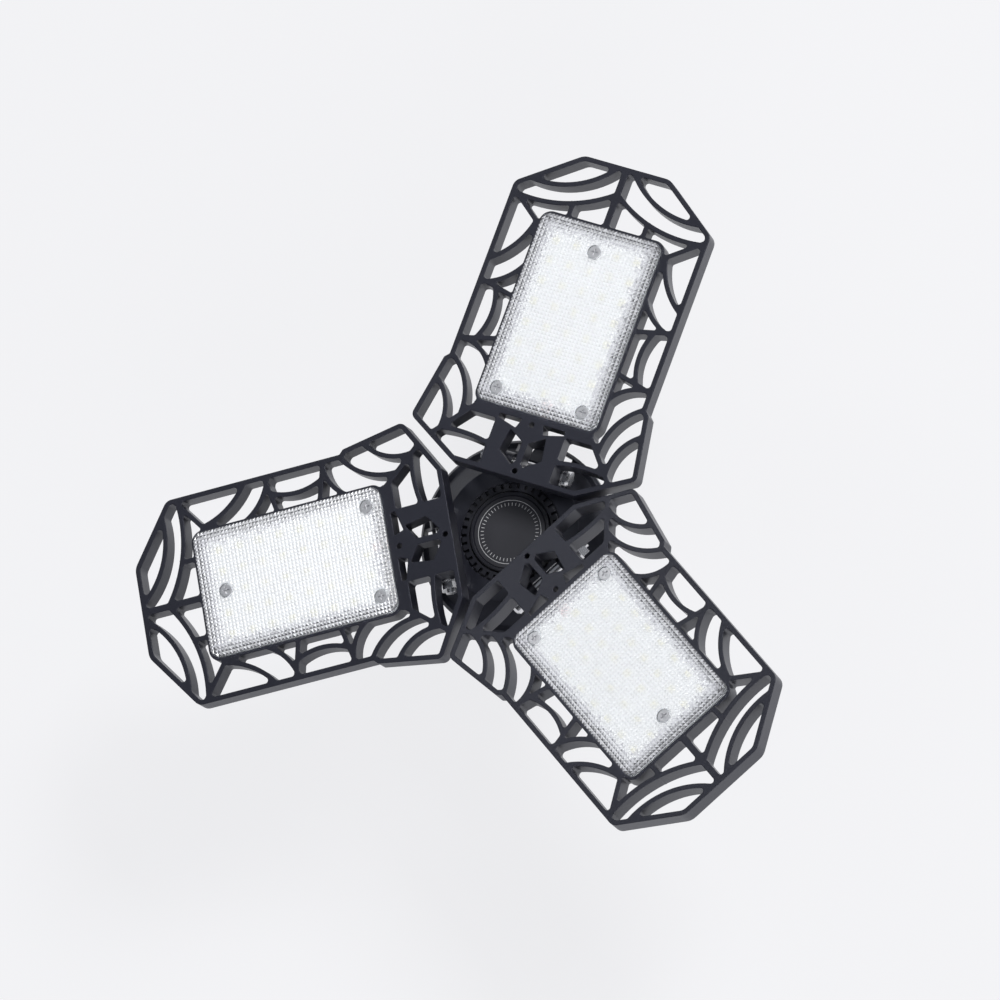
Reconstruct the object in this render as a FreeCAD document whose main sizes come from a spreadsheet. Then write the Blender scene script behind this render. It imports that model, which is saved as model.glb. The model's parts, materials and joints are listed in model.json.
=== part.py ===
"""Folding three-leaf garage light with a screw lamp base.

Axis of the light is Z, lit side up, lamp base down, origin at the tip of the centre contact.
Each leaf is drawn about its own hinge axis: X points outward from the hub, Y along the hinge,
and its Placement turns it to its place round the hub and to its angle at rest.
"""
import FreeCAD, Part
import math
import os
import re
import Sketcher

from FreeCAD import Placement, Rotation, Vector

os.makedirs("parts", exist_ok=True)
doc = FreeCAD.newDocument("garage_light")

# ---------------------------------------------------------------- driving dimensions (mm)
DIMENSIONS = {
    # leaf outline, as distance from the hinge edge ("reach") and half width
    "leaf_reach": 128.0,
    "tip_half_width": 18.0,
    "tip_round": 6.0,
    "shoulder_reach": 111.2,
    "shoulder_round": 4.0,
    "side_half_width": 41.3,
    "step_reach": 39.2,
    "step_width": 1.7,
    "step_round": 1.0,
    "wing_reach": 12.2,
    "wing_half_width": 47.4,
    "wing_round": 3.0,
    "root_half_width": 25.8,
    "root_round": 2.0,
    "leaf_depth": 7.6,
    # web of the leaf
    "rim_width": 1.9,
    "rib_width": 1.8,
    "spine_width": 2.6,
    "sill_width": 3.8,
    "rib_overrun": 0.8,
    "cell_round": 1.2,
    "cut_margin": 1.0,
    # lens, board and light sources
    "lens_reach": 25.5,
    "lens_length": 77.0,
    "lens_width": 50.0,
    "lens_round": 3.5,
    "lens_thick": 1.6,
    "lens_seam": 0.1,
    "lens_frame": 1.2,
    "skirt_gap": 0.2,
    "skirt_wall": 1.2,
    "pocket_lip": 1.4,
    "board_thick": 1.2,
    "board_gap": 0.4,
    "board_depth": 2.8,
    "floor_thick": 2.2,
    "fin_thick": 1.6,
    "fin_end": 3.0,
    "chip_length": 3.5,
    "chip_width": 2.8,
    "chip_height": 0.7,
    "chip_pitch": 8.4,
    "chip_clearance": 5.0,
    "wire_radius": 0.4,
    "wire_length": 4.4,
    "wire_pitch": 1.8,
    "wire_gap": 0.1,
    # lens screws, M2.5 with pan heads
    "screw_radius": 1.25,
    "screw_length": 6.5,
    "screw_clearance": 0.4,
    "screw_head": 2.3,
    "screw_head_thick": 1.3,
    "screw_seat": 1.5,
    "cross_length": 2.6,
    "cross_width": 0.6,
    "cross_depth": 0.7,
    "boss_radius": 3.2,
    "screw_side": 18.0,
    "screw_near": 6.0,
    "screw_far": 10.0,
    # hinge plate and hinge
    "hinge_radius": 25.4,
    "hinge_inset": 8.3,
    "hinge_drop": 13.0,
    "plate_half_width": 14.5,
    "plate_hole": 1.1,
    "lug_thick": 3.8,
    "lug_radius": 4.6,
    "ear_radius": 3.7,
    "ear_thick": 4.2,
    "side_gap": 0.3,
    "pivot_radius": 2.0,
    "pivot_clearance": 0.06,
    "washer_radius": 4.4,
    "washer_thick": 0.8,
    "head_radius": 3.9,
    "head_thick": 2.6,
    "head_bevel": 1.0,
    "nut_flats": 7.0,
    "nut_thick": 3.0,
    "thread_end": 1.2,
    # hub
    "hub_radius": 38.0,
    "hub_rim_under": 66.8,
    "hub_rim_top": 72.0,
    "hub_under": 70.2,
    "rim_inner": 33.0,
    "edge_bevel": 1.2,
    "slope_radius": 34.8,
    "deck_radius": 26.8,
    "deck_top": 78.0,
    "hinge_rise": 6.0,
    "bore_radius": 11.8,
    "slot_near": 4.6,
    "slot_far": 11.4,
    "slot_inner": 31.6,
    "slot_outer": 36.6,
    "vent_seat": 75.5,
    "vent_outer": 19.6,
    "vent_inner": 16.2,
    "vent_top": 79.0,
    "vent_fit": 0.1,
    "vent_bevel": 0.4,
    "vent_slot": 1.2,
    "vent_slot_depth": 1.6,
    "vent_slot_wall": 1.1,
    "cover_radius": 15.8,
    "cover_top": 80.1,
    "cover_recess": 0.8,
    "cover_spigot": 0.6,
    "label_radius": 14.0,
    "label_thick": 0.3,
    # heat sink and what it houses
    "core_radius": 23.4,
    "cavity_radius": 20.8,
    "ledge_width": 1.3,
    "sink_bottom": 44.0,
    "sink_floor": 2.5,
    "sink_fin_foot": 26.0,
    "sink_fin_reach": 30.0,
    "sink_fin_rise": 8.0,
    "sink_fin_thick": 1.4,
    "driver_seat": 56.0,
    "driver_thick": 1.6,
    "driver_fit": 0.2,
    "transformer_length": 13.0,
    "transformer_width": 11.0,
    "transformer_height": 9.0,
    "bobbin_radius": 6.2,
    "capacitor_radius": 4.0,
    "capacitor_height": 10.0,
    "capacitor_reach": 8.0,
    # lamp base
    "neck_top_radius": 22.0,
    "neck_bottom_radius": 15.0,
    "neck_bottom": 29.0,
    "neck_collar": 4.0,
    "neck_fit": 0.05,
    "shell_crest": 13.1,
    "shell_root": 12.1,
    "shell_wall": 0.5,
    "shell_bottom": 6.5,
    "crest_drop": 0.2,
    "thread_start": 1.2,
    "thread_pitch": 3.62,
    "insulator_plug": 2.0,
    "contact_radius": 4.8,
    "contact_height": 2.2,
}
LEAF_AZIMUTHS = (90.0, 210.0, 330.0)
LEAF_ANGLES = (-2.5, -3.1, 7.5)      # each leaf as it stands, + lifts its tip to the lit side
LEAF_FINS = 9
CHIP_ROWS = 8
CHIP_COLUMNS = 5
SINK_FINS = 30
VENT_SLOTS = 36
THREAD_TURNS = 5

dims = doc.addObject("Spreadsheet::Sheet", "Dims")
for row, (name, number) in enumerate(DIMENSIONS.items(), start=1):
    dims.set("A%d" % row, name)
    dims.set("B%d" % row, str(number))
    dims.setAlias("B%d" % row, name)
doc.recompute()


HINGE_HEIGHT = "deck_top+hinge_rise"


def size(expression):
    """Value of an expression that is written with the sheet's names."""
    result = dims.evalExpression(expression)
    return float(getattr(result, "Value", result))


def dim(expression):
    """The same expression as other objects of the document see it."""
    return re.sub(r"\b([a-z]\w*)\b(?!\()", r"Dims.\1", expression)


# ---------------------------------------------------------------- sketches and features
def origin_item(body, role):
    return next(item for item in body.Origin.OriginFeatures if item.Role == role)


def new_body(label):
    body = doc.addObject("PartDesign::Body", label)
    body.Label = label
    return body


def new_sketch(body, name, role, height="0"):
    sketch = body.newObject("Sketcher::SketchObject", name)
    sketch.AttachmentSupport = [(origin_item(body, role), "")]
    sketch.MapMode = "FlatFace"
    if height != "0":
        sketch.setExpression("AttachmentOffset.Base.z", dim(height))
    return sketch


def bind_point(sketch, geometry, point, x, y):
    """Dimensions a sketch point from the origin by two expressions."""
    for kind, text in (("DistanceX", x), ("DistanceY", y)):
        place = Sketcher.Constraint(kind, -1, 1, geometry, point, size(text))
        number = sketch.addConstraint(place)
        sketch.setExpression("Constraints[%d]" % number, dim(text))


def draw_polygon(sketch, corners):
    """Closed polygon whose corners are pairs of expressions of the sheet's names."""
    spots = [Vector(size(x), size(y), 0) for x, y in corners]
    first = sketch.GeometryCount
    count = len(spots)
    for i in range(count):
        sketch.addGeometry(Part.LineSegment(spots[i], spots[(i + 1) % count]), False)
    for i in range(count):
        joined = Sketcher.Constraint("Coincident", first + i, 2, first + (i + 1) % count, 1)
        sketch.addConstraint(joined)
    for i, (x, y) in enumerate(corners):
        bind_point(sketch, first + i, 1, x, y)


def draw_circle(sketch, x, y, radius):
    spot = Vector(size(x), size(y), 0)
    ring = sketch.addGeometry(Part.Circle(spot, Vector(0, 0, 1), size(radius)), False)
    bind_point(sketch, ring, 3, x, y)
    number = sketch.addConstraint(Sketcher.Constraint("Radius", ring, size(radius)))
    sketch.setExpression("Constraints[%d]" % number, dim(radius))


def revolve(body, corners):
    sketch = new_sketch(body, body.Name + "_profile", "XZ_Plane")
    draw_polygon(sketch, corners)
    turned = body.newObject("PartDesign::Revolution", body.Name + "_turned")
    turned.Profile = sketch
    turned.ReferenceAxis = (sketch, ["V_Axis"])
    turned.Angle = 360


def turned_body(label, corners):
    body = new_body(label)
    revolve(body, corners)
    return body


def extrude(body, sketch, length, kind="Pad", midplane=False, downward=False):
    feature = body.newObject("PartDesign::" + kind, "%s_%s" % (sketch.Name, kind))
    feature.Profile = sketch
    feature.setExpression("Length", dim(length))
    feature.Midplane = midplane
    feature.Reversed = downward
    return feature


def polar(body, originals, count, name):
    pattern = body.newObject("PartDesign::PolarPattern", name)
    pattern.Originals = originals
    pattern.Axis = (origin_item(body, "Z_Axis"), [""])
    pattern.Angle = 360
    pattern.Occurrences = count
    body.Tip = pattern


def round_uprights(body, feature, height, radius):
    """Rounds those upright straight edges of a feature that are this high."""
    doc.recompute()
    chosen = []
    for number, edge in enumerate(feature.Shape.Edges, start=1):
        box = edge.BoundBox
        upright = max(box.XLength, box.YLength) < 1e-6
        if upright and abs(edge.Length - size(height)) < 1e-6:
            chosen.append("Edge%d" % number)
    rounding = body.newObject("PartDesign::Fillet", feature.Name + "_round")
    rounding.Base = (feature, chosen)
    rounding.setExpression("Radius", dim(radius))


def primitive(kind, name, place=("0", "0", "0"), turn=None, **sizes):
    """Part primitive whose sizes and place are bound to the sheet."""
    item = doc.addObject("Part::" + kind, name)
    if turn is not None:
        item.Placement = Placement(Vector(), turn)
    for key, text in sizes.items():
        item.setExpression(key, dim(text))
    for axis, text in zip("xyz", place):
        item.setExpression("Placement.Base." + axis, dim(text))
    return item


def fused(name, items):
    whole = doc.addObject("Part::MultiFuse", name)
    whole.Shapes = items
    return whole


def cut_from(name, base, tool):
    whole = doc.addObject("Part::Cut", name)
    whole.Base = base
    whole.Tool = tool
    return whole


def grouped(name, items):
    group = doc.addObject("Part::Compound", name)
    group.Links = items
    return group


# ---------------------------------------------------------------- lamp base
def make_contact():
    return turned_body("centre_contact", [
        ("0", "0"),
        ("contact_radius*0.7", "0"),
        ("contact_radius", "contact_height*0.4"),
        ("contact_radius", "contact_height"),
        ("0", "contact_height"),
    ])


def make_insulator():
    bore = "shell_root-shell_wall"
    return turned_body("base_insulator", [
        ("0", "contact_height"),
        ("contact_radius+0.8", "contact_height"),
        (bore, "shell_bottom"),
        (bore + "-neck_fit", "shell_bottom"),
        (bore + "-neck_fit", "shell_bottom+insulator_plug"),
        ("0", "shell_bottom+insulator_plug"),
    ])


def make_shell():
    """Screw shell: one crest to each pitch, over a thin wall."""
    bore = "shell_root-shell_wall"
    corners = [(bore, "shell_bottom"), ("shell_root", "shell_bottom")]
    for turn in range(THREAD_TURNS):
        foot = "shell_bottom+thread_start+%d*thread_pitch" % turn
        corners.append(("shell_root", foot))
        corners.append(("shell_crest-crest_drop", foot + "+thread_pitch*0.3"))
        corners.append(("shell_crest", foot + "+thread_pitch*0.5"))
        corners.append(("shell_crest-crest_drop", foot + "+thread_pitch*0.7"))
    corners.append(("shell_root", "shell_bottom+thread_start+%d*thread_pitch" % THREAD_TURNS))
    corners.append(("shell_root", "neck_bottom"))
    corners.append((bore, "neck_bottom"))
    return turned_body("screw_shell", corners)


def make_neck():
    """Plastic neck: its spigot fills the shell, its collar stands on the shell's end."""
    spigot = "shell_root-shell_wall-neck_fit"
    return turned_body("neck", [
        ("0", "shell_bottom+insulator_plug"),
        (spigot, "shell_bottom+insulator_plug"),
        (spigot, "neck_bottom"),
        ("neck_bottom_radius", "neck_bottom"),
        ("neck_bottom_radius", "neck_bottom+neck_collar"),
        ("neck_top_radius", "sink_bottom-3"),
        ("neck_top_radius", "sink_bottom"),
        ("0", "sink_bottom"),
    ])


# ---------------------------------------------------------------- heat sink and hub
def make_heat_sink():
    body = new_body("heat_sink")
    floor = "sink_bottom+sink_floor"
    revolve(body, [
        ("0", "sink_bottom"),
        ("core_radius", "sink_bottom"),
        ("core_radius", "hub_under"),
        ("cavity_radius", "hub_under"),
        ("cavity_radius", "driver_seat"),
        ("cavity_radius-ledge_width", "driver_seat"),
        ("cavity_radius-ledge_width", floor),
        ("0", floor),
    ])
    sketch = new_sketch(body, "sink_fin_outline", "XZ_Plane")
    inside_wall = "(core_radius+cavity_radius)/2"
    draw_polygon(sketch, [
        (inside_wall, "sink_bottom+1"),
        ("sink_fin_foot", "sink_bottom+1"),
        ("sink_fin_reach", "sink_bottom+sink_fin_rise"),
        ("sink_fin_reach", "hub_under"),
        (inside_wall, "hub_under"),
    ])
    fin = extrude(body, sketch, "sink_fin_thick", midplane=True)
    polar(body, [fin], SINK_FINS, "sink_fins")
    return body


def make_hub():
    """Dished casting with three pairs of hinge ears and two slots outside each pair."""
    body = new_body("hub")
    revolve(body, [
        ("bore_radius", "hub_under"),
        ("rim_inner", "hub_under"),
        ("rim_inner+edge_bevel/2", "hub_rim_under"),
        ("hub_radius-edge_bevel/2", "hub_rim_under"),
        ("hub_radius", "hub_rim_under+edge_bevel/2"),
        ("hub_radius", "hub_rim_top-edge_bevel"),
        ("hub_radius-edge_bevel", "hub_rim_top"),
        ("slope_radius", "hub_rim_top"),
        ("deck_radius", "deck_top"),
        ("vent_outer", "deck_top"),
        ("vent_outer", "vent_seat"),
        ("bore_radius", "vent_seat"),
    ])
    ear_span = "2*(plate_half_width-lug_thick-side_gap)"
    ear_root = "(hub_under+vent_seat)/2"
    near_side = "hinge_radius-ear_radius"
    far_side = "hinge_radius+ear_radius"
    outline = new_sketch(body, "ear_outline", "XZ_Plane")
    draw_polygon(outline, [
        (near_side, ear_root),
        (far_side, ear_root),
        (far_side, HINGE_HEIGHT),
        (near_side, HINGE_HEIGHT),
    ])
    blocks = extrude(body, outline, ear_span, midplane=True)
    rounding = new_sketch(body, "ear_round", "XZ_Plane")
    draw_circle(rounding, "hinge_radius", HINGE_HEIGHT, "ear_radius")
    heads = extrude(body, rounding, ear_span, midplane=True)
    between = new_sketch(body, "ear_gap", "XZ_Plane")
    draw_polygon(between, [
        (near_side + "-cut_margin", "deck_top"),
        (far_side + "+cut_margin", "deck_top"),
        (far_side + "+cut_margin", HINGE_HEIGHT + "+ear_radius+cut_margin"),
        (near_side + "-cut_margin", HINGE_HEIGHT + "+ear_radius+cut_margin"),
    ])
    gap = extrude(body, between, ear_span + "-2*ear_thick", kind="Pocket", midplane=True)
    bore = new_sketch(body, "ear_bore", "XZ_Plane")
    draw_circle(bore, "hinge_radius", HINGE_HEIGHT, "pivot_radius+pivot_clearance")
    hole = extrude(body, bore, "2*plate_half_width", kind="Pocket", midplane=True)
    features = [blocks, heads, gap, hole]
    for side in ("", "-"):
        outline = new_sketch(body, "edge_slot", "XY_Plane", "deck_top")
        draw_polygon(outline, [
            ("slot_inner", side + "slot_near"),
            ("sqrt(slot_outer^2-slot_near^2)", side + "slot_near"),
            ("sqrt(slot_outer^2-slot_far^2)", side + "slot_far"),
            ("slot_inner", side + "slot_far"),
        ])
        features.append(extrude(body, outline, "deck_top-hub_rim_under+cut_margin", kind="Pocket"))
    polar(body, features, len(LEAF_AZIMUTHS), "ear_sets")
    body.Placement = Placement(Vector(), Rotation(Vector(0, 0, 1), LEAF_AZIMUTHS[0]))
    return body


def make_vent_ring():
    """Castellated ring round the cover."""
    body = new_body("vent_ring")
    outside = "vent_outer-vent_fit"
    revolve(body, [
        ("vent_inner", "vent_seat"),
        (outside, "vent_seat"),
        (outside, "vent_top-vent_bevel"),
        (outside + "-vent_bevel", "vent_top"),
        ("vent_inner", "vent_top"),
    ])
    sketch = new_sketch(body, "vent_slot_outline", "XZ_Plane")
    draw_polygon(sketch, [
        ("vent_inner+vent_slot_wall", "vent_top-vent_slot_depth"),
        ("vent_outer+cut_margin", "vent_top-vent_slot_depth"),
        ("vent_outer+cut_margin", "vent_top+cut_margin"),
        ("vent_inner+vent_slot_wall", "vent_top+cut_margin"),
    ])
    slot = extrude(body, sketch, "vent_slot", kind="Pocket", midplane=True)
    polar(body, [slot], VENT_SLOTS, "vent_slots")
    return body


def make_cover():
    spigot = "bore_radius-cover_spigot"
    panel = "cover_top-cover_recess"
    return turned_body("front_cover", [
        ("0", "vent_seat+cover_spigot"),
        (spigot, "vent_seat+cover_spigot"),
        (spigot, "vent_seat"),
        ("cover_radius", "vent_seat"),
        ("cover_radius", "cover_top-vent_bevel"),
        ("cover_radius-vent_bevel", "cover_top"),
        ("label_radius+0.5", "cover_top"),
        ("label_radius+0.1", panel),
        ("0", panel),
    ])


def make_label_disc():
    panel = "cover_top-cover_recess"
    return turned_body("label_disc", [
        ("0", panel),
        ("label_radius", panel),
        ("label_radius", panel + "+label_thick"),
        ("0", panel + "+label_thick"),
    ])


def make_driver_board():
    return turned_body("driver_board", [
        ("0", "driver_seat"),
        ("cavity_radius-driver_fit", "driver_seat"),
        ("cavity_radius-driver_fit", "driver_seat+driver_thick"),
        ("0", "driver_seat+driver_thick"),
    ])


def make_transformer():
    """Ferrite core with its bobbin, standing on the driver board."""
    top = "driver_seat+driver_thick"
    core = primitive("Box", "transformer_core",
                     ("-transformer_length-1", "-transformer_width/2", top),
                     Length="transformer_length", Width="transformer_width",
                     Height="transformer_height")
    bobbin = primitive("Cylinder", "bobbin", ("-transformer_length/2-1", "0", top),
                       Radius="bobbin_radius", Height="transformer_height-1")
    return fused("transformer", [core, bobbin])


def make_capacitors():
    """Two electrolytic capacitors beside the transformer."""
    cans = []
    for side in ("", "-"):
        place = ("capacitor_reach", side + "(capacitor_radius+2.5)", "driver_seat+driver_thick")
        cans.append(primitive("Cylinder", "can", place,
                              Radius="capacitor_radius", Height="capacitor_height"))
    return grouped("capacitors", cans)


# ---------------------------------------------------------------- web frame of the leaf
def spot(half_width, reach, side=1):
    """Place in the leaf's plane from its half width and its reach."""
    return Vector(reach - size("hinge_inset"), side * half_width, 0)


def rounded_face(corners):
    """Flat face through (point, corner radius) pairs."""
    edges = []
    cuts = []
    count = len(corners)
    for i, (corner, radius) in enumerate(corners):
        before = (corners[i - 1][0] - corner).normalize()
        after = (corners[(i + 1) % count][0] - corner).normalize()
        half_angle = before.getAngle(after) / 2
        run = radius / math.tan(half_angle)
        bulge = (before + after).normalize() * (radius / math.sin(half_angle) - radius)
        cuts.append((corner + before * run, corner + bulge, corner + after * run, radius))
    for i, (start, middle, end, radius) in enumerate(cuts):
        if radius > 0:
            edges.append(Part.Arc(start, middle, end).toShape())
        edges.append(Part.LineSegment(end, cuts[(i + 1) % count][0]).toShape())
    return Part.Face(Part.Wire(Part.__sortEdges__(edges)))


def mirrored(corners):
    """Corners of one half, given from the tip to the hinge edge, completed by the other half."""
    other = [(Vector(p.x, -p.y, 0), radius) for p, radius in reversed(corners)]
    return corners + other


def leaf_outline():
    side = size("side_half_width")
    step = size("step_width")
    step_reach = size("step_reach")
    return rounded_face(mirrored([
        (spot(size("tip_half_width"), size("leaf_reach")), size("tip_round")),
        (spot(side, size("shoulder_reach")), size("shoulder_round")),
        (spot(side, step_reach), size("step_round")),
        (spot(side + step, step_reach - step), size("step_round")),
        (spot(size("wing_half_width"), size("wing_reach")), size("wing_round")),
        (spot(size("root_half_width"), 0), size("root_round")),
    ]))


def lens_face(grow=0.0):
    """Rounded rectangle of the lens, grown or shrunk all round."""
    half = size("lens_width") / 2 + grow
    near = size("lens_reach") - grow
    far = size("lens_reach+lens_length") + grow
    radius = size("lens_round") + grow
    return rounded_face(mirrored([(spot(half, far), radius), (spot(half, near), radius)]))


def arc_band(start, middle, end, width):
    """Curved rib of constant width along the arc through three places, run on at both ends."""
    centre = Part.Arc(start, middle, end).toShape().Curve.Center
    radius = (start - centre).Length
    overrun = math.degrees(size("rib_overrun") / radius)
    if (start - centre).cross(middle - centre).z < 0:
        overrun = -overrun
    start = centre + Rotation(Vector(0, 0, 1), -overrun).multVec(start - centre)
    end = centre + Rotation(Vector(0, 0, 1), overrun).multVec(end - centre)
    rims = []
    for grown in (width / 2, -width / 2):
        rims.append([centre + (p - centre).normalize() * (radius + grown)
                     for p in (start, middle, end)])
    outer, inner = rims
    edges = [Part.Arc(*outer), Part.LineSegment(outer[-1], inner[-1]),
             Part.Arc(*reversed(inner)), Part.LineSegment(inner[0], outer[0])]
    return Part.Face(Part.Wire([edge.toShape() for edge in edges]))


def straight_band(start, end, width, overrun=0.0):
    along = (end - start).normalize()
    aside = Vector(-along.y, along.x, 0) * (width / 2)
    start = start - along * overrun
    end = end + along * overrun
    corners = [start + aside, end + aside, end - aside, start - aside]
    return rounded_face([(corner, 0) for corner in corners])


def tip_place(across, along):
    """Place past the lens, as shares of the half width and of the way from lens to tip."""
    far = size("lens_reach+lens_length")
    return (across * size("side_half_width"), far + along * (size("leaf_reach") - far))


def band_place(across, along):
    """Place beside the lens, as shares of the band's width and of the lens's length."""
    edge = size("lens_width") / 2
    width = size("side_half_width") - edge
    return (edge + across * width, size("lens_reach") + along * size("lens_length"))


def wing_place(across, along):
    """Place beside the hinge plate, as shares of the way to the wing and to the lens."""
    plate = size("plate_half_width")
    width = size("wing_half_width") - plate
    return (plate + across * width, along * size("lens_reach"))


def web_ribs():
    """Centre lines of the web's ribs on one half: two places for a spoke, three for an arc."""
    return [
        # past the lens: outer and inner arc, short spoke, spoke to the shoulder
        [tip_place(0.087, 0.945), tip_place(0.416, 0.549), tip_place(0.86, 0.455)],
        [tip_place(0.0, 0.569), tip_place(0.385, 0.247), tip_place(0.944, 0.173)],
        [tip_place(0.378, 0.02), tip_place(0.378, 0.25)],
        [band_place(0.086, 0.938), tip_place(0.944, 0.184)],
        # beside the lens: two arcs, cross rib, half-moon arc, cross rib, arc
        [band_place(0.16, 0.93), band_place(0.405, 0.81), band_place(0.908, 0.70)],
        [band_place(0.006, 0.723), band_place(0.27, 0.647), band_place(0.80, 0.579)],
        [band_place(0.006, 0.544), band_place(0.93, 0.588)],
        [band_place(0.515, 0.564), band_place(0.374, 0.425), band_place(0.515, 0.301)],
        [band_place(0.03, 0.318), band_place(0.93, 0.271)],
        [band_place(0.0, 0.17), band_place(0.307, 0.24), band_place(0.834, 0.274)],
        # wing: two arcs, spoke from the lens's corner, rib to the hinge plate
        [band_place(0.95, 0.182), band_place(0.485, 0.09), band_place(0.233, -0.087)],
        [band_place(1.141, 0.05), band_place(0.748, -0.034), band_place(0.589, -0.177)],
        [band_place(-0.067, -0.026), band_place(0.75, -0.23)],
        [wing_place(-0.03, 0.393), wing_place(0.289, 0.451), wing_place(0.60, 0.43)],
    ]


HALF_PLANE = 200.0


def web_cells(outline):
    """Openings of the web: the leaf's area without rim, lens frame, hinge plate and ribs."""
    width = size("rib_width")
    near = size("lens_reach")
    sill = near - size("lens_frame+sill_width/2")
    half_lens = size("lens_width/2")
    solid = [
        lens_face(size("lens_frame")),
        straight_band(spot(0, -1), spot(0, near), size("2*plate_half_width")),
        straight_band(spot(0, near), spot(0, size("leaf_reach")), size("spine_width")),
        straight_band(spot(-half_lens, sill), spot(half_lens, sill), size("sill_width")),
    ]
    for rib in web_ribs():
        places = [spot(half, reach) for half, reach in rib]
        if len(places) == 3:
            solid.append(arc_band(*places, width))
        else:
            solid.append(straight_band(*places, width, size("rib_overrun")))
    other_half = straight_band(spot(-HALF_PLANE, -1), spot(-HALF_PLANE, HALF_PLANE), 2 * HALF_PLANE)
    open_area = outline.makeOffset2D(-size("rim_width")).cut(solid + [other_half])
    cells = []
    for face in open_area.Faces:
        mean_width = 2 * face.Area / face.Length
        rounding = min(size("cell_round"), 0.3 * mean_width)
        if mean_width > width / 2:
            core = max(face.makeOffset2D(-rounding).Faces, key=lambda piece: piece.Area)
            cell = core.makeOffset2D(rounding)
            cells += [cell, cell.mirror(Vector(), Vector(0, 1, 0))]
    return cells


def plate_windows():
    """Two five-sided windows and two slots beside the axis of the hinge plate."""
    plate = size("plate_half_width")
    near = size("lens_reach")
    window = [(0.083, 0.56), (0.51, 0.71), (0.614, 0.36), (0.18, 0.184), (0.083, 0.235)]
    slot = [(0.30, 0.894), (0.95, 0.894), (0.95, 0.824), (0.40, 0.741)]
    faces = []
    for side in (1, -1):
        for shape in (window, slot):
            corners = [spot(across * plate, along * near, side) for across, along in shape]
            faces.append(rounded_face([(corner, 0.4) for corner in corners]))
    return faces


def screw_spots():
    """Centres of the lens screws as expressions: one near the tip, two at the inner corners."""
    far = "lens_reach+lens_length-screw_far-hinge_inset"
    near = "lens_reach+screw_near-hinge_inset"
    return [(far, "0"), (near, "screw_side"), (near, "-screw_side")]


def screw_places():
    return [Vector(size(x), size(y), 0) for x, y in screw_spots()]


def raised(shape, top, depth):
    """Prism from a flat shape, its top face at this height."""
    lifted = shape.translated(Vector(0, 0, top - depth))
    return lifted.extrude(Vector(0, 0, depth))


def disc(place, radius, top, depth):
    base = Vector(place.x, place.y, top - depth)
    return Part.makeCylinder(radius, depth, base)


def cooling_slots(top, depth):
    """Slots between the fins on the leaf's back."""
    pitch = size("lens_width") / LEAF_FINS
    slot_depth = depth - size("board_depth+floor_thick")
    near = size("lens_reach+fin_end")
    far = size("lens_reach+lens_length-fin_end")
    slots = []
    for i in range(LEAF_FINS):
        middle = (i - (LEAF_FINS - 1) / 2) * pitch
        slot = straight_band(spot(middle, near), spot(middle, far), pitch - size("fin_thick"))
        bottom = top - depth
        slots.append(raised(slot, bottom + slot_depth, slot_depth + size("cut_margin")))
    return slots


def lug_blocks(top, depth):
    """Lugs under both edges of the hinge plate, round about the hinge axis."""
    outer = size("plate_half_width")
    inner = size("plate_half_width-lug_thick")
    radius = size("lug_radius")
    height = top - depth + size("cut_margin")
    blocks = []
    for start in (inner, -outer):
        base = Vector(0, start, 0)
        blocks.append(Part.makeCylinder(radius, outer - inner, base, Vector(0, 1, 0)))
        corner = Vector(-radius, start, 0)
        blocks.append(Part.makeBox(2 * radius, outer - inner, height, corner))
    return blocks


def leaf_frame_shape():
    top = size("hinge_drop")
    depth = size("leaf_depth")
    margin = size("cut_margin")
    outline = leaf_outline()
    openings = [raised(cell, top + margin, depth + 2 * margin)
                for cell in web_cells(outline) + plate_windows()]
    openings.append(raised(lens_face(-size("pocket_lip")), top, size("board_depth")))
    bosses = [disc(place, size("boss_radius"), top, depth) for place in screw_places()]
    openings += [slot.cut(bosses) for slot in cooling_slots(top, depth)]
    screw = size("screw_radius")
    openings += [disc(place, screw, top, depth + margin) for place in screw_places()]
    near = size("lens_reach")
    openings += [disc(spot(0, share * near), size("plate_hole"), top, depth + margin)
                 for share in (0.11, 0.847)]
    frame = raised(outline, top, depth).cut(openings).fuse(lug_blocks(top, depth))
    half_length = size("plate_half_width") + margin
    bore = Part.makeCylinder(size("pivot_radius+pivot_clearance"), 2 * half_length,
                             Vector(0, -half_length, 0), Vector(0, 1, 0))
    return frame.cut(bore).removeSplitter()


def make_leaf_frame():
    item = doc.addObject("Part::Feature", "leaf_frame")
    item.Shape = leaf_frame_shape()
    return item


# ---------------------------------------------------------------- what the leaf carries
BOARD_TOP = "hinge_drop-board_depth+board_thick"
LENS_BASE = "hinge_drop+lens_seam"
LENS_TOP = "hinge_drop+lens_seam+lens_thick"


def draw_lens_rectangle(sketch, shrink):
    """Rectangle of the lens, shrunk all round."""
    near = "lens_reach-hinge_inset+(%s)" % shrink
    far = "lens_reach+lens_length-hinge_inset-(%s)" % shrink
    half = "lens_width/2-(%s)" % shrink
    draw_polygon(sketch, [
        (near, "-(%s)" % half),
        (far, "-(%s)" % half),
        (far, half),
        (near, half),
    ])


def at_screws(body, name, height, radius, depth, kind):
    """Round pads or pockets at the three lens screws, downward from this height."""
    sketch = new_sketch(body, name, "XY_Plane", height)
    for x, y in screw_spots():
        draw_circle(sketch, x, y, radius)
    extrude(body, sketch, depth, kind, downward=kind == "Pad")


def make_board():
    body = new_body("led_board")
    sketch = new_sketch(body, "board_outline", "XY_Plane", BOARD_TOP)
    draw_lens_rectangle(sketch, "pocket_lip+board_gap")
    plate = extrude(body, sketch, "board_thick", downward=True)
    round_uprights(body, plate, "board_thick", "lens_round-pocket_lip-board_gap")
    hole = "screw_radius+screw_clearance"
    at_screws(body, "board_holes", BOARD_TOP, hole, "board_thick+cut_margin", "Pocket")
    return body


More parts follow.
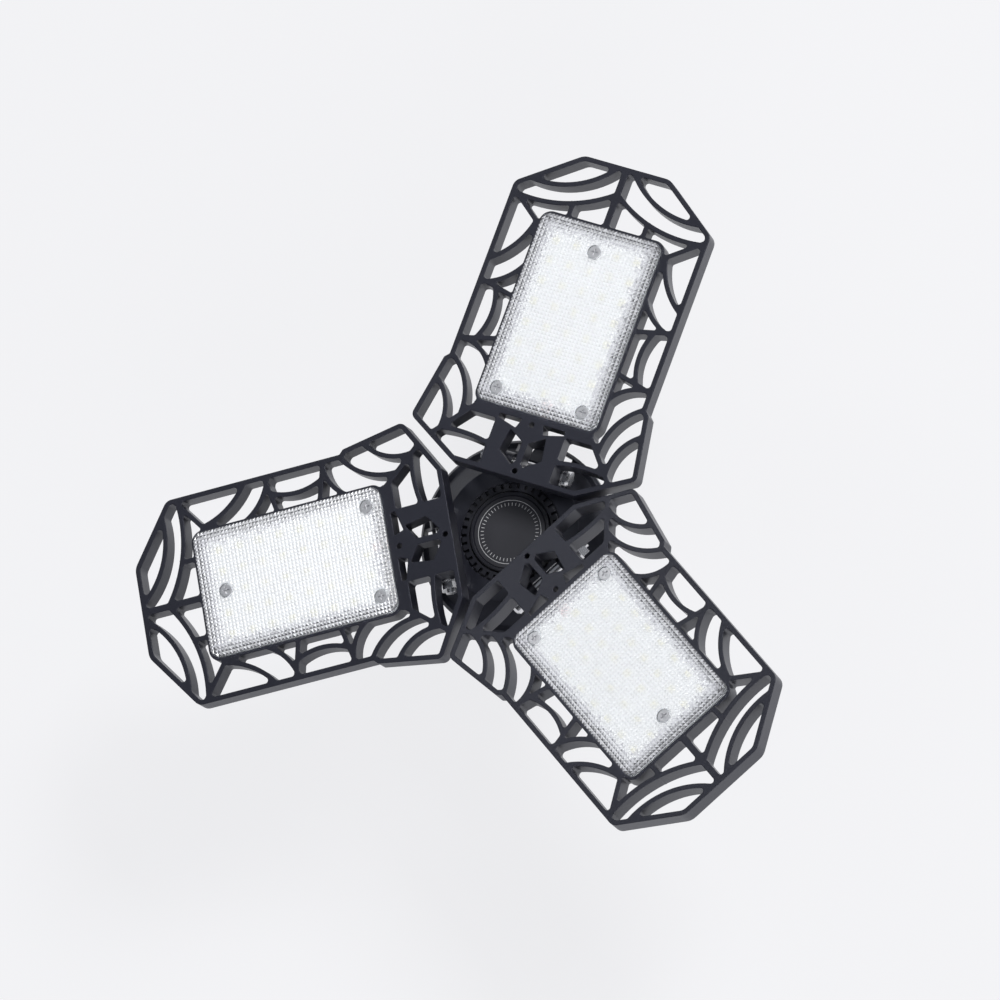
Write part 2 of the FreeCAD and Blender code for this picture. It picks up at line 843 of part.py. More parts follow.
def make_lens():
    """Lens plate with a locating skirt in the pocket and a boss under each screw."""
    body = new_body("lens")
    outline = new_sketch(body, "lens_outline", "XY_Plane", LENS_TOP)
    draw_lens_rectangle(outline, "0")
    plate = extrude(body, outline, "lens_thick", downward=True)
    round_uprights(body, plate, "lens_thick", "lens_round")
    ring = new_sketch(body, "skirt_outline", "XY_Plane", LENS_BASE)
    draw_lens_rectangle(ring, "pocket_lip+skirt_gap")
    draw_lens_rectangle(ring, "pocket_lip+skirt_gap+skirt_wall")
    skirt_depth = "%s-(%s)-2*wire_radius-wire_gap" % (LENS_BASE, BOARD_TOP)
    skirt = extrude(body, ring, skirt_depth, downward=True)
    round_uprights(body, skirt, skirt_depth, "lens_round-pocket_lip-skirt_gap")
    to_board = "%s-(%s)" % (LENS_BASE, BOARD_TOP)
    at_screws(body, "lens_bosses", LENS_BASE, "boss_radius", to_board, "Pad")
    at_screws(body, "lens_seats", LENS_TOP, "screw_head+screw_clearance", "screw_seat", "Pocket")
    hole = "screw_radius+screw_clearance"
    at_screws(body, "lens_holes", LENS_TOP, hole, "lens_thick+%s+cut_margin" % to_board, "Pocket")
    return body


def make_lens_screws():
    """Pan-head screws with a cross recess, each through its boss into the frame."""
    seat = LENS_TOP + "-screw_seat"
    head_top = seat + "+screw_head_thick"
    screws = []
    for x, y in screw_spots():
        shank = primitive("Cylinder", "screw_shank", (x, y, seat + "-screw_length"),
                          Radius="screw_radius", Height="screw_length+cross_depth/2")
        head = primitive("Cylinder", "screw_head", (x, y, seat),
                         Radius="screw_head", Height="screw_head_thick")
        arms = []
        for length, width in (("cross_length", "cross_width"), ("cross_width", "cross_length")):
            corner = ("%s-%s/2" % (x, length), "%s-%s/2" % (y, width), head_top + "-cross_depth")
            arms.append(primitive("Box", "cross_arm", corner, Length=length, Width=width,
                                  Height="cross_depth+cut_margin"))
        screw = cut_from("screw", fused("screw_blank", [shank, head]), fused("cross", arms))
        screws.append(screw)
    return grouped("lens_screws", screws)


def make_chips():
    """Grid of light sources on the board, left out near the screws."""
    pitch = size("chip_pitch")
    middle = "lens_reach+lens_length/2-hinge_inset"
    chips = []
    for row in range(CHIP_ROWS):
        for column in range(CHIP_COLUMNS):
            along = row - (CHIP_ROWS - 1) / 2
            aside = column - (CHIP_COLUMNS - 1) / 2
            centre = Vector(size(middle) + along * pitch, aside * pitch, 0)
            nearest = min((centre - screw).Length for screw in screw_places())
            if nearest < size("chip_clearance"):
                continue
            corner = ("%s+(%s)*chip_pitch-chip_length/2" % (middle, along),
                      "(%s)*chip_pitch-chip_width/2" % aside, BOARD_TOP)
            chips.append(primitive("Box", "chip", corner, Length="chip_length",
                                   Width="chip_width", Height="chip_height"))
    return grouped("led_chips", chips)


def make_lead_wires():
    """Two lead ends on the board, from the pocket's inner wall to their solder pads."""
    start = "lens_reach+pocket_lip+board_gap+lens_seam-hinge_inset"
    wires = []
    for order in (1, 2):
        place = (start, "-(%d*wire_pitch)" % order, BOARD_TOP + "+wire_radius")
        wires.append(primitive("Cylinder", "lead", place, Rotation(Vector(0, 1, 0), 90),
                               Radius="wire_radius", Height="wire_length"))
    return grouped("lead_wires", wires)


# ---------------------------------------------------------------- pivot of the leaf
ALONG_HINGE = Rotation(Vector(1, 0, 0), -90)
AGAINST_HINGE = Rotation(Vector(1, 0, 0), 90)
WASHER_FACE = "plate_half_width+washer_thick"


def on_hinge(kind, name, start, turn=ALONG_HINGE, **sizes):
    """Primitive whose own axis lies on the hinge axis, from this place along it."""
    return primitive(kind, name, ("0", start, "0"), turn, **sizes)


def make_bolt():
    """Bolt with a bevelled round head on one side and its thread end past the nut."""
    far = "%s+nut_thick+thread_end" % WASHER_FACE
    shank = on_hinge("Cylinder", "shank", "-(%s)" % WASHER_FACE,
                     Radius="pivot_radius", Height="%s+%s" % (far, WASHER_FACE))
    straight = "head_thick-head_bevel"
    head = on_hinge("Cylinder", "head", "-(%s)" % WASHER_FACE, AGAINST_HINGE,
                    Radius="head_radius", Height=straight)
    crown = on_hinge("Cone", "crown", "-(%s)-(%s)" % (WASHER_FACE, straight), AGAINST_HINGE,
                     Radius1="head_radius", Radius2="head_radius-head_bevel",
                     Height="head_bevel")
    return fused("pivot_bolt", [shank, head, crown])


def make_nut():
    blank = on_hinge("Prism", "nut_blank", WASHER_FACE, Circumradius="nut_flats/sqrt(3)",
                     Height="nut_thick")
    blank.Polygon = 6
    bore = on_hinge("Cylinder", "nut_bore", WASHER_FACE + "-cut_margin", Radius="pivot_radius",
                    Height="nut_thick+2*cut_margin")
    return cut_from("pivot_nut", blank, bore)


def make_washers():
    rings = []
    for start in ("plate_half_width", "-(%s)" % WASHER_FACE):
        blank = on_hinge("Cylinder", "washer_blank", start,
                         Radius="washer_radius", Height="washer_thick")
        bore = on_hinge("Cylinder", "washer_bore", start + "-cut_margin",
                        Radius="pivot_radius", Height="washer_thick+2*cut_margin")
        rings.append(cut_from("washer", blank, bore))
    return grouped("pivot_washers", rings)


LEAF_PIECES = {
    "leaf_frame": make_leaf_frame,
    "led_board": make_board,
    "led_chips": make_chips,
    "lens": make_lens,
    "lens_screws": make_lens_screws,
    "lead_wires": make_lead_wires,
    "pivot_bolt": make_bolt,
    "pivot_nut": make_nut,
    "pivot_washers": make_washers,
}


def leaf_placement(azimuth, angle):
    pivot = Vector(size("hinge_radius"), 0, size(HINGE_HEIGHT))
    turn = Rotation(Vector(0, 0, 1), azimuth)
    tilt = Rotation(Vector(0, -1, 0), angle)
    return Placement(turn.multVec(pivot), turn.multiply(tilt))


def make_leaves():
    pieces = []
    for kind, make in LEAF_PIECES.items():
        for number, (azimuth, angle) in enumerate(zip(LEAF_AZIMUTHS, LEAF_ANGLES), start=1):
            piece = make()
            piece.Label = "%s_%d" % (kind, number)
            piece.Placement = leaf_placement(azimuth, angle)
            pieces.append(piece)
    return pieces


# ---------------------------------------------------------------- build, check, write
sub_parts = [
    make_contact(), make_insulator(), make_shell(), make_neck(), make_heat_sink(), make_hub(),
    make_vent_ring(), make_cover(), make_label_disc(), make_driver_board(), make_transformer(),
    make_capacitors(),
]
sub_parts += make_leaves()
doc.recompute()

for item in doc.Objects:
    if "Invalid" in item.State or "Error" in item.State:
        raise RuntimeError("%s does not recompute" % item.Label)
for item in sub_parts:
    if item.Shape.isNull() or not item.Shape.isValid():
        raise RuntimeError("%s has no valid shape" % item.Label)
    item.Shape.exportStep("parts/%s.step" % item.Label)
print("%d sub-parts" % len(sub_parts))
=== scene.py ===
"""A deformable garage light: looks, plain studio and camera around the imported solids. Metres, +Z up."""

import json
import math
import random

import bmesh
import bpy
import numpy as np
from mathutils import Matrix, Vector


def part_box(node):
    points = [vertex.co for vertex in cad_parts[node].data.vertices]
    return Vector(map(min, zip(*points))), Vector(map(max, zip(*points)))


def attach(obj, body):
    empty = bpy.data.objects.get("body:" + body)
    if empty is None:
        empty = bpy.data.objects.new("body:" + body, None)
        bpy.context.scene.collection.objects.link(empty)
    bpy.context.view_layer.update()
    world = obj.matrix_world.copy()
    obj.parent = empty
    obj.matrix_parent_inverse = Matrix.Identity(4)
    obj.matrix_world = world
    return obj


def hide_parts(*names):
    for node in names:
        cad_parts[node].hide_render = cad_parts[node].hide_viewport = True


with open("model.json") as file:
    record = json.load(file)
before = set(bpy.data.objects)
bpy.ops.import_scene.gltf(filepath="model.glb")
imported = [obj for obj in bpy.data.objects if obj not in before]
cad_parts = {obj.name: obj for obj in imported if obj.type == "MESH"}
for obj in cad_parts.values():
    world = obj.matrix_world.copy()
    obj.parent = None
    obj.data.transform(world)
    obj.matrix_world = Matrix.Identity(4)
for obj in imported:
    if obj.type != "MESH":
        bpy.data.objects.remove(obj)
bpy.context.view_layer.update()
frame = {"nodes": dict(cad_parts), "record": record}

MM = 0.001

# ---------------------------------------------------------------- materials
DRIFT_SCALE = 45.0
DRIFT_RANGE = (0.3, 0.7)
GRAIN_SCALE = 900.0
GRAIN_DEPTH = 0.4 * MM


def add(tree, kind, **values):
    """A node with its input sockets set by name (underscores for spaces)."""
    node = tree.nodes.new(kind)
    for key, value in values.items():
        name = key.replace("_", " ")
        if name in node.inputs:
            node.inputs[name].default_value = value
        else:
            setattr(node, key, value)
    return node


def mottled(name, dark, light, roughness, bump=0.02, spread=0.06, edge=0.0, **uniform):
    """Painted, moulded or metal surface: fine grain, slow colour drift, uneven gloss, soft edges."""
    material = bpy.data.materials.new(name)
    material.use_nodes = True
    tree = material.node_tree
    shader = tree.nodes["Principled BSDF"]
    link = tree.links.new
    place = add(tree, "ShaderNodeTexCoord")
    drift = add(tree, "ShaderNodeTexNoise", Scale=DRIFT_SCALE, Detail=3.0)
    link(place.outputs["Object"], drift.inputs["Vector"])
    ramp = add(tree, "ShaderNodeValToRGB")
    for element, position, colour in zip(ramp.color_ramp.elements, DRIFT_RANGE, (dark, light)):
        element.position = position
        element.color = (*colour, 1.0)
    link(drift.outputs["Fac"], ramp.inputs["Fac"])
    link(ramp.outputs["Color"], shader.inputs["Base Color"])
    gloss = add(tree, "ShaderNodeMapRange", To_Min=roughness - spread, To_Max=roughness + spread)
    link(drift.outputs["Fac"], gloss.inputs["Value"])
    link(gloss.outputs["Result"], shader.inputs["Roughness"])
    fine = add(tree, "ShaderNodeTexNoise", Scale=GRAIN_SCALE, Detail=2.0)
    link(place.outputs["Object"], fine.inputs["Vector"])
    relief = add(tree, "ShaderNodeBump", Strength=bump, Distance=GRAIN_DEPTH)
    link(fine.outputs["Fac"], relief.inputs["Height"])
    if edge > 0.0:
        rounding = add(tree, "ShaderNodeBevel", Radius=edge)
        link(rounding.outputs["Normal"], relief.inputs["Normal"])
    link(relief.outputs["Normal"], shader.inputs["Normal"])
    for key, value in uniform.items():
        shader.inputs[key.replace("_", " ")].default_value = value
    return material


BLACK = (0.0080, 0.0084, 0.0140)
BLACK_LIGHT = (0.0112, 0.0117, 0.0190)
COAT = {"Coat_Weight": 0.25, "Coat_Roughness": 0.25, "Coat_IOR": 1.5, "Specular_IOR_Level": 0.6,
        "Specular_Tint": (0.86, 0.88, 1.0, 1.0)}
METAL = {"Metallic": 1.0}
LENS_IOR = 1.49
SMOOTH = {"bump": 0.0, "spread": 0.02, "IOR": LENS_IOR}

LOOKS = {
    "black_metal": mottled("powder_coat", BLACK, BLACK_LIGHT, 0.40, bump=0.10, edge=0.6 * MM, **COAT),
    "black_plastic": mottled("moulded_black", BLACK, BLACK_LIGHT, 0.45, bump=0.08, edge=0.2 * MM),
    "housing_plastic": mottled("housing_black", BLACK, BLACK_LIGHT, 0.50, bump=0.08, edge=0.3 * MM),
    "label": mottled("label_grey", (0.026, 0.026, 0.032), (0.032, 0.032, 0.040), 0.50, bump=0.05),
    "contact": mottled("tinned_contact", (0.60, 0.56, 0.46), (0.72, 0.68, 0.56), 0.30, **METAL),
    "insulator": mottled("insulator_black", (0.010, 0.010, 0.012), (0.02, 0.02, 0.022), 0.20),
    "shell": mottled("nickel_shell", (0.62, 0.61, 0.58), (0.72, 0.71, 0.68), 0.24, **METAL),
    "board_green": mottled("green_mask", (0.01, 0.07, 0.03), (0.02, 0.10, 0.04), 0.35),
    "board_white": mottled("white_mask", (0.93, 0.94, 0.95), (0.95, 0.96, 0.97), 0.40),
    "ferrite": mottled("ferrite_grey", (0.03, 0.03, 0.03), (0.05, 0.05, 0.05), 0.55),
    "capacitor": mottled("sleeve_blue", (0.01, 0.015, 0.03), (0.02, 0.025, 0.045), 0.3),
    "led": mottled("led_package", (0.84, 0.83, 0.78), (0.88, 0.87, 0.82), 0.40),
    "lens": mottled("lens_clear", (0.93, 0.95, 0.97), (0.96, 0.98, 1.0), 0.07,
                    Transmission_Weight=0.94, **SMOOTH),
    "screw": mottled("zinc_screw", (0.66, 0.66, 0.68), (0.76, 0.76, 0.78), 0.35,
                     edge=0.15 * MM, Metallic=0.7),
    "wire": mottled("wire_red", (0.55, 0.04, 0.04), (0.65, 0.06, 0.06), 0.40),
    "bolt": mottled("zinc_bolt", (0.66, 0.66, 0.67), (0.78, 0.78, 0.79), 0.26, edge=0.2 * MM, **METAL),
}
PRINT = mottled("white_print", (0.62, 0.62, 0.63), (0.70, 0.70, 0.71), 0.55)
PHOSPHOR = mottled("phosphor", (0.86, 0.78, 0.34), (0.90, 0.83, 0.44), 0.45)

# Facets of the lens's pyramids: milky clear, then levels of painted shade that stand in for the black
# pocket's wall seen through the lens.
FACET_CLEAR = mottled("lens_facet_clear", (0.98, 0.985, 0.99), (0.99, 0.995, 1.0), 0.24,
                      Transmission_Weight=0.55, **SMOOTH)
FACET_PAINTED_SHADE_TONES = (0.66, 0.36, 0.13)


def painted_shade_facet_material(level, tone):
    """One level of painted shade on the facets, a little blue."""
    dark = (tone, tone, tone * 1.05)
    light = (tone * 1.1, tone * 1.1, tone * 1.15)
    return mottled("lens_facet_%d" % level, dark, light, 0.12, Transmission_Weight=0.1, **SMOOTH)


PAINTED_SHADE_FACETS = [painted_shade_facet_material(level, tone) for level, tone in enumerate(FACET_PAINTED_SHADE_TONES, start=1)]

for part in frame["record"]["subparts"]:
    node = frame["nodes"][part["node"]]
    for slot in node.material_slots:
        slot.material = LOOKS[part["material_slot"]]


# ---------------------------------------------------------------- pieces
WELD = 1e-7


def new_piece(name, vertices, faces, materials, body, slot, place=None, smooth=False, levels=None):
    """A mesh piece that rides on a body, with the materials that it is given; its slot argument is not used.
    """
    mesh = bpy.data.meshes.new(name)
    mesh.from_pydata([tuple(v) for v in vertices], [], faces)
    for material in materials:
        mesh.materials.append(material)
    if levels is not None:
        mesh.polygons.foreach_set("material_index", levels)
    work = bmesh.new()
    work.from_mesh(mesh)
    bmesh.ops.remove_doubles(work, verts=work.verts, dist=WELD)
    bmesh.ops.recalc_face_normals(work, faces=work.faces)
    work.to_mesh(mesh)
    work.free()
    if smooth:
        mesh.shade_smooth()
    piece = bpy.data.objects.new(name, mesh)
    bpy.context.scene.collection.objects.link(piece)
    if place is not None:
        piece.matrix_world = place
    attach(piece, body)
    return piece


def flat_ring(inner, outer, low, high, count=96):
    """Vertices and faces of a flat washer round the Z axis."""
    vertices = []
    faces = []
    for i in range(count):
        angle = 2 * math.pi * i / count
        for radius, height in ((inner, low), (outer, low), (outer, high), (inner, high)):
            vertices.append((radius * math.cos(angle), radius * math.sin(angle), height))
        here = 4 * i
        there = 4 * ((i + 1) % count)
        for k in range(4):
            after = (k + 1) % 4
            faces.append((here + k, there + k, there + after, here + after))
    return vertices, faces


def box_mesh(low, high):
    """Vertices and faces of a box between two corners."""
    vertices = [(x, y, z) for x in (low[0], high[0]) for y in (low[1], high[1]) for z in (low[2], high[2])]
    faces = [(0, 1, 3, 2), (4, 6, 7, 5), (0, 4, 5, 1), (2, 3, 7, 6), (0, 2, 6, 4), (1, 5, 7, 3)]
    return vertices, faces


def joined(meshes):
    """One vertex and face list from several."""
    vertices = []
    faces = []
    for part_vertices, part_faces in meshes:
        base = len(vertices)
        vertices += part_vertices
        faces += [tuple(base + i for i in face) for face in part_faces]
    return vertices, faces


# Printed ring and ticks on the disc in the cover.
RING_RADIUS = 12.4 * MM
RING_LINE = 0.10 * MM
RING_RISE = 0.03 * MM
TICKS = 48
TICK_INNER = 10.3 * MM
TICK_OUTER = 11.5 * MM
TICK_HALF_WIDTH = 0.11 * MM


def tick_mesh(low, high):
    """Short radial lines inside the ring."""
    ticks = []
    for i in range(TICKS):
        turn = Matrix.Rotation(2 * math.pi * i / TICKS, 3, "Z")
        vertices, faces = box_mesh((TICK_INNER, -TICK_HALF_WIDTH, low), (TICK_OUTER, TICK_HALF_WIDTH, high))
        ticks.append(([tuple(turn @ Vector(v)) for v in vertices], faces))
    return joined(ticks)


label_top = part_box("label_disc")[1][2]
print_top = label_top + RING_RISE
ring = flat_ring(RING_RADIUS - RING_LINE, RING_RADIUS + RING_LINE, label_top, print_top)
new_piece("printed_ring", *joined([ring, tick_mesh(label_top, print_top)]), [PRINT], "body", "label")


# Screw shell with its helical thread.
THREAD_PITCH = 3.62 * MM
THREAD_DEPTH = 1.0 * MM
THREAD_START = 0.8 * MM
SHELL_WALL = 0.5 * MM
TURN_STEPS = 96
PITCH_STEPS = 12


def thread_rise(height, share, length):
    """Share of the thread's depth at a height over the shell's lower end and at a share of a turn."""
    fade_in = max(0.0, (height - THREAD_START) / THREAD_PITCH)
    fade_out = max(0.0, (length - THREAD_START - height) / THREAD_PITCH)
    phase = 2 * math.pi * (height / THREAD_PITCH - share)
    rise = 0.5 - 0.5 * math.cos(phase)
    return min(1.0, fade_in, fade_out) * math.sqrt(rise)


def thread_mesh(low, high, root, inner):
    """Tube whose outside carries a right-handed rounded thread that fades out at both ends."""
    length = high - low
    rows = int(round(length / THREAD_PITCH * PITCH_STEPS))
    turns = [(math.cos(2 * math.pi * step / TURN_STEPS), math.sin(2 * math.pi * step / TURN_STEPS))
             for step in range(TURN_STEPS)]
    vertices = []
    faces = []
    for row in range(rows + 1):
        height = low + length * row / rows
        for step, (across, aside) in enumerate(turns):
            radius = root + THREAD_DEPTH * thread_rise(height - low, step / TURN_STEPS, length)
            vertices.append((radius * across, radius * aside, height))
    for height in (low, high):
        for across, aside in turns:
            vertices.append((inner * across, inner * aside, height))
    last = rows * TURN_STEPS
    base = last + TURN_STEPS
    for step in range(TURN_STEPS):
        after = (step + 1) % TURN_STEPS
        for row in range(rows):
            here = row * TURN_STEPS
            above = here + TURN_STEPS
            faces.append((here + step, here + after, above + after, above + step))
        faces.append((base + step, base + TURN_STEPS + step, base + TURN_STEPS + after, base + after))
        faces.append((step, base + step, base + after, after))
        faces.append((last + after, base + TURN_STEPS + after, base + TURN_STEPS + step, last + step))
    return vertices, faces


shell_low, shell_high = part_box("screw_shell")
shell_root = shell_high[0] - THREAD_DEPTH
shell_mesh = thread_mesh(shell_low[2], shell_high[2], shell_root, shell_root - SHELL_WALL)
shell = new_piece("threaded_shell", *shell_mesh, [LOOKS["shell"]], "body", "shell", smooth=True)
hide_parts("screw_shell")


# ---------------------------------------------------------------- what each leaf gets
def points_of(node_name):
    """Vertices of a CAD node as an array."""
    return np.array([tuple(v.co) for v in frame["nodes"][node_name].data.vertices])


def matrix_of(columns):
    """Matrix of three axes and an origin."""
    return Matrix([[column[row] for column in columns] for row in range(3)] + [[0, 0, 0, 1]])


def leaf_place(number):
    """Matrix of a leaf: origin on its hinge, X to its tip, Y along its hinge, Z out of its lit face."""
    joint = next(j for j in frame["record"]["behaviour"]["joints"] if j["child"] == "leaf_%d" % number)
    along = Vector(joint["axis"]).normalized()
    faces = frame["nodes"]["lens_%d" % number].data.polygons
    normal = max(faces, key=lambda face: face.area).normal.copy()
    if normal.z < 0:
        normal.negate()
    outward = along.cross(normal)
    origin = Vector(joint["pos_m"])
    middle = Vector(points_of("lens_%d" % number).mean(axis=0))
    if outward.dot(middle - origin) < 0:
        along.negate()
        outward.negate()
    return matrix_of((outward, along, normal, origin))


def local_points(node_name, place):
    """Vertices of a CAD node in a leaf's own axes."""
    inverse = np.array(place.inverted())
    return points_of(node_name) @ inverse[:3, :3].T + inverse[:3, 3]


def clusters(points, reach):
    """Groups of points, each with those within this reach of its first point, seen along Z."""
    left = points
    while len(left):
        near = np.linalg.norm(left[:, :2] - left[0, :2], axis=1) < reach
        yield left[near]
        left = left[~near]


SCREW_REACH = 6.0 * MM


def screw_centres(number, place):
    """Centres of the lens screws in the leaf's plane, from the screws' own solids."""
    flat = local_points("lens_screws_%d" % number, place)[:, :2]
    return [(group.min(axis=0) + group.max(axis=0)) / 2 for group in clusters(flat, SCREW_REACH)]


PRISM_PITCH = 1.45 * MM
PRISM_HEIGHT = 0.34 * MM
FILM_THICK = 0.12 * MM
FILM_GAP = 0.02 * MM
LENS_ROUND = 3.5 * MM
SCREW_CLEAR = 2.75 * MM
WALL_NEAR = 2.4 * MM
WALL_FAR = 7.0 * MM
ALONG_SHARE = 0.55
SHADE_SEED = 7


def kept_inside(point, low, high):
    """The point moved onto the lens's rounded corner where it is outside it."""
    centre = np.clip(point, low + LENS_ROUND, high - LENS_ROUND)
    offset = point - centre
    distance = np.linalg.norm(offset)
    if distance > LENS_ROUND:
        return centre + offset * (LENS_ROUND / distance)
    return point


def corner_place(point, low, high, screws):
    """A corner of the grid, moved onto the lens and out of the openings round its screws."""
    point = kept_inside(point, low, high)
    for screw in screws:
        offset = point - screw
        distance = np.linalg.norm(offset)
        if distance < SCREW_CLEAR:
            point = screw + offset * (SCREW_CLEAR / distance)
    return point


def carries_prism(centre, low, high, screws):
    """Whether a cell of the grid has its centre on the lens and clear of the screws."""
    on_lens = not np.linalg.norm(kept_inside(centre, low, high) - centre) > 0
    clear = min(np.linalg.norm(centre - screw) for screw in screws) >= SCREW_CLEAR
    return on_lens and clear


def wall_shade(distance):
    """Full shade near a wall of the pocket, none far from it."""
    return min(1.0, max(0.0, (WALL_FAR - distance) / (WALL_FAR - WALL_NEAR)))


def painted_shade_level(side, walls, chance):
    """Level of painted shade on the facet on a side, from the wall that it faces and those that it runs
    along.
    """
    facing = wall_shade(walls[side])
    along = ALONG_SHARE * max(wall_shade(walls[side - 1]), wall_shade(walls[(side + 1) % 4]))
    return min(len(PAINTED_SHADE_FACETS), int(max(facing, along) * len(PAINTED_SHADE_FACETS) + chance.random()))


def prism_sheet(low, high, base, screws):
    """Sheet of small pyramids over a rounded rectangle, with a round opening at each screw.

    Near an edge the facets carry painted shade that stands in for the black wall of the pocket seen through
    them, so each gets a level of painted shade from its distance to the walls that it faces or runs along;
    level 0 is clear.
    """
    counts = [int(round((high[k] - low[k]) / PRISM_PITCH)) for k in range(2)]
    steps = [(high[k] - low[k]) / counts[k] for k in range(2)]
    vertices = []
    corners = {}
    cells = {}

    def corner(i, j):
        """Number of the lower vertex at a corner of the grid; the upper one follows it."""
        if (i, j) not in corners:
            grid_place = np.array((low[0] + i * steps[0], low[1] + j * steps[1]))
            point = corner_place(grid_place, low, high, screws)
            corners[(i, j)] = len(vertices)
            vertices.append((*point, base))
            vertices.append((*point, base + FILM_THICK))
        return corners[(i, j)]

    for i in range(counts[0]):
        for j in range(counts[1]):
            centre = np.array((low[0] + (i + 0.5) * steps[0], low[1] + (j + 0.5) * steps[1]))
            if carries_prism(centre, low, high, screws):
                cells[(i, j)] = [corner(i, j), corner(i + 1, j), corner(i + 1, j + 1), corner(i, j + 1)]
    faces = []
    levels = []
    chance = random.Random(SHADE_SEED)
    for (i, j), around in cells.items():
        middle = np.mean([vertices[c][:2] for c in around], axis=0)
        apex = len(vertices)
        vertices.append((*middle, base + FILM_THICK + PRISM_HEIGHT))
        faces.append(tuple(reversed(around)))
        levels.append(0)
        neighbours = ((i, j - 1), (i + 1, j), (i, j + 1), (i - 1, j))
        walls = (middle[1] - low[1], high[0] - middle[0], high[1] - middle[1], middle[0] - low[0])
        for side, neighbour in enumerate(neighbours):
            here = around[side]
            there = around[(side + 1) % 4]
            faces.append((here + 1, there + 1, apex))
            # Painted shade on this facet, darker near the pocket's walls.
            levels.append(painted_shade_level(side, walls, chance))
            if neighbour not in cells:
                faces.append((here, there, there + 1, here + 1))
                levels.append(0)
    return vertices, faces, levels


CHIP_REACH = 4.6 * MM
CHIP_TOP_SLACK = 0.01 * MM
CHIP_PHOSPHOR = 0.72
PHOSPHOR_RISE = 0.03 * MM


def phosphor_mesh(number, place):
    """Thin yellow field on each light source of a leaf."""
    points = local_points("led_chips_%d" % number, place)
    top = points[:, 2].max()
    fields = []
    for chip in clusters(points[points[:, 2] > top - CHIP_TOP_SLACK], CHIP_REACH):
        middle = (chip.min(axis=0) + chip.max(axis=0)) / 2
        half_size = (chip.max(axis=0) - chip.min(axis=0)) / 2 * CHIP_PHOSPHOR
        low = (*(middle - half_size)[:2], top)
        high = (*(middle + half_size)[:2], top + PHOSPHOR_RISE)
        fields.append(box_mesh(low, high))
    return joined(fields)


for number in (1, 2, 3):
    body = "leaf_%d" % number
    place = leaf_place(number)
    lens_points = local_points("lens_%d" % number, place)
    lens_low = lens_points.min(axis=0)
    lens_high = lens_points.max(axis=0)
    screws = screw_centres(number, place)
    *sheet, levels = prism_sheet(lens_low[:2], lens_high[:2], lens_high[2] + FILM_GAP, screws)
    prisms = new_piece("lens_prisms_%d" % number, *sheet, [FACET_CLEAR, *PAINTED_SHADE_FACETS], body, "lens", place,
                       levels=levels)
    new_piece("phosphor_%d" % number, *phosphor_mesh(number, place), [PHOSPHOR], body, "led", place)
    # A refracting solid casts a full shadow, so the lens and its prisms are left out of the board's light.
    for clear in (prisms, frame["nodes"]["lens_%d" % number]):
        clear.visible_shadow = False
        clear.visible_diffuse = False


# ---------------------------------------------------------------- studio
# The floor lies below the tips of the folded leaves, which reach under the lamp base's contact.
FLOOR_HALF = 6.0
FLOOR_LEVEL = -22 * MM
FLOOR_COLOUR = (0.88, 0.88, 0.90)
FLOOR_GLOW = (0.915, 0.915, 0.933, 1.0)
DIRECT_SHARE = 0.85
REFLECTED_SHARE = 0.3


def floor_material(name):
    """Pale floor: seen directly or in a reflection it is near white, but keeps the object's shadow."""
    material = mottled(name, FLOOR_COLOUR, tuple(c * 1.01 for c in FLOOR_COLOUR), 0.9, bump=0.0, spread=0.0)
    tree = material.node_tree
    link = tree.links.new
    path = add(tree, "ShaderNodeLightPath")
    direct = add(tree, "ShaderNodeMath", operation="MULTIPLY")
    direct.inputs[1].default_value = DIRECT_SHARE
    link(path.outputs["Is Camera Ray"], direct.inputs[0])
    bounced = add(tree, "ShaderNodeMath", operation="MAXIMUM")
    link(path.outputs["Is Glossy Ray"], bounced.inputs[0])
    link(path.outputs["Is Transmission Ray"], bounced.inputs[1])
    share = add(tree, "ShaderNodeMath", operation="MULTIPLY_ADD")
    share.inputs[1].default_value = REFLECTED_SHARE
    link(bounced.outputs["Value"], share.inputs[0])
    link(direct.outputs["Value"], share.inputs[2])
    glow = add(tree, "ShaderNodeEmission", Color=FLOOR_GLOW, Strength=1.0)
    mix = add(tree, "ShaderNodeMixShader")
    link(share.outputs["Value"], mix.inputs[0])
    link(tree.nodes["Principled BSDF"].outputs["BSDF"], mix.inputs[1])
    link(glow.outputs["Emission"], mix.inputs[2])
    link(mix.outputs["Shader"], tree.nodes["Material Output"].inputs["Surface"])
    return material


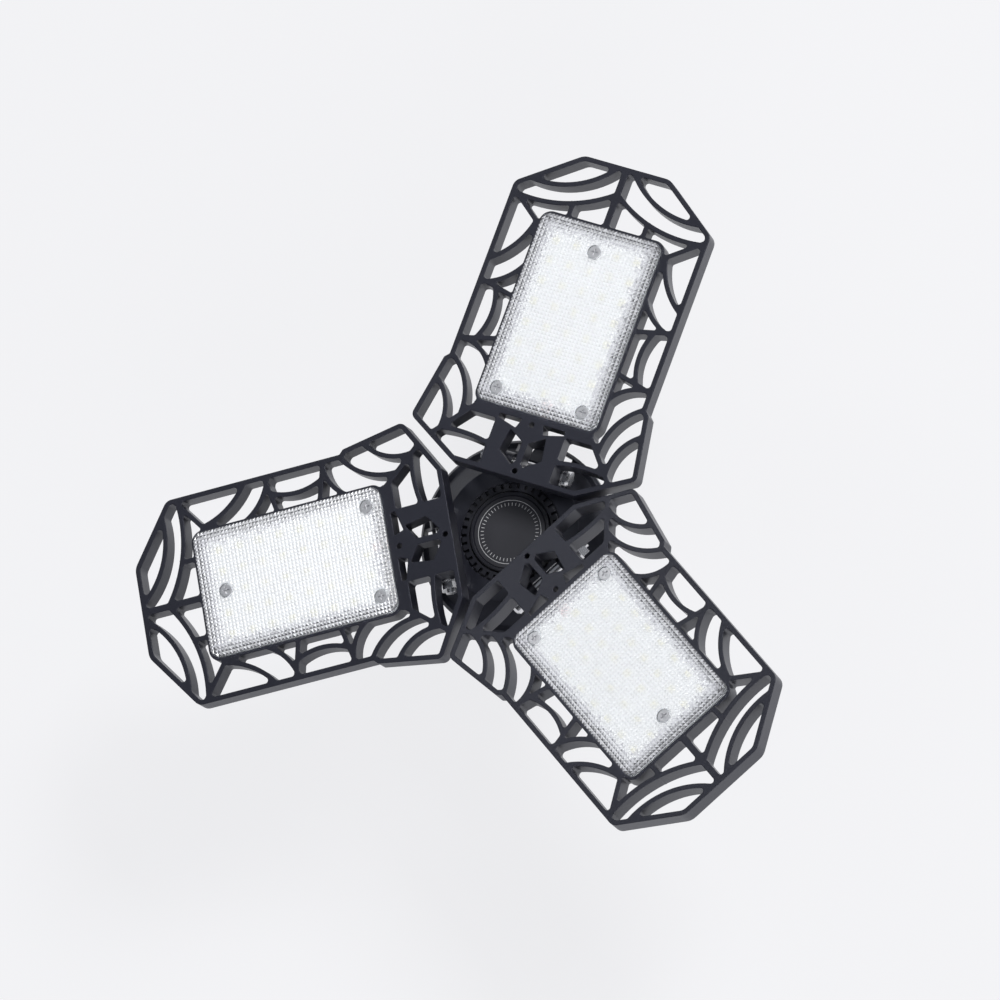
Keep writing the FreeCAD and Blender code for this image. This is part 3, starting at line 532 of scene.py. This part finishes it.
floor_corners = [(-FLOOR_HALF, -FLOOR_HALF, FLOOR_LEVEL), (FLOOR_HALF, -FLOOR_HALF, FLOOR_LEVEL),
                 (FLOOR_HALF, FLOOR_HALF, FLOOR_LEVEL), (-FLOOR_HALF, FLOOR_HALF, FLOOR_LEVEL)]
floor_mesh = bpy.data.meshes.new("floor")
floor_mesh.from_pydata(floor_corners, [], [(0, 1, 2, 3)])
floor_mesh.materials.append(floor_material("floor_pale"))
floor = bpy.data.objects.new("floor", floor_mesh)
bpy.context.scene.collection.objects.link(floor)

SKY_COLOUR = (0.90, 0.95, 1.05, 1.0)
SKY_STRENGTH = 0.22

world = bpy.data.worlds.new("studio")
world.use_nodes = True
world.node_tree.nodes["Background"].inputs["Color"].default_value = SKY_COLOUR
world.node_tree.nodes["Background"].inputs["Strength"].default_value = SKY_STRENGTH
bpy.context.scene.world = world

# Lamps: name, place, side of the square and power in watts. The last gives leaf 3 its sheen.
LAMPS = (
    ("key", (0.9, 1.6, 2.3), 0.8, 53.0),
    ("fill", (1.2, -1.3, 1.2), 1.4, 20.0),
    ("sheen", (-1.86, 1.0, 2.1), 0.5, 6.0),
)
LAMP_AIM = Vector((0, 0, 0.08))

for name, place, side, watts in LAMPS:
    light = bpy.data.lights.new(name, "AREA")
    light.size = side
    light.energy = watts
    lamp = bpy.data.objects.new(name, light)
    bpy.context.scene.collection.objects.link(lamp)
    lamp.location = place
    lamp.rotation_euler = (LAMP_AIM - Vector(place)).to_track_quat("-Z", "Y").to_euler()

# Camera at the photograph's viewing angle; the image is 1000 x 1000.
CAMERA_PLACE = Vector((1.034533, -0.395411, 2.913291))
CAMERA_FORWARD = Vector((-0.342212, 0.133296, -0.930120))
CAMERA_UP = Vector((-0.270655, 0.933948, 0.233424))
CAMERA_LENS_MM = 288.14
SENSOR_WIDTH_MM = 36.0
CAMERA_REACH = 50.0

camera_data = bpy.data.cameras.new("camera")
camera_data.sensor_width = SENSOR_WIDTH_MM
camera_data.lens = CAMERA_LENS_MM
camera_data.clip_end = CAMERA_REACH
camera = bpy.data.objects.new("camera", camera_data)
bpy.context.scene.collection.objects.link(camera)
camera.matrix_world = matrix_of((CAMERA_FORWARD.cross(CAMERA_UP), CAMERA_UP, -CAMERA_FORWARD, CAMERA_PLACE))
bpy.context.scene.camera = camera
bpy.context.scene.view_settings.view_transform = "Standard"
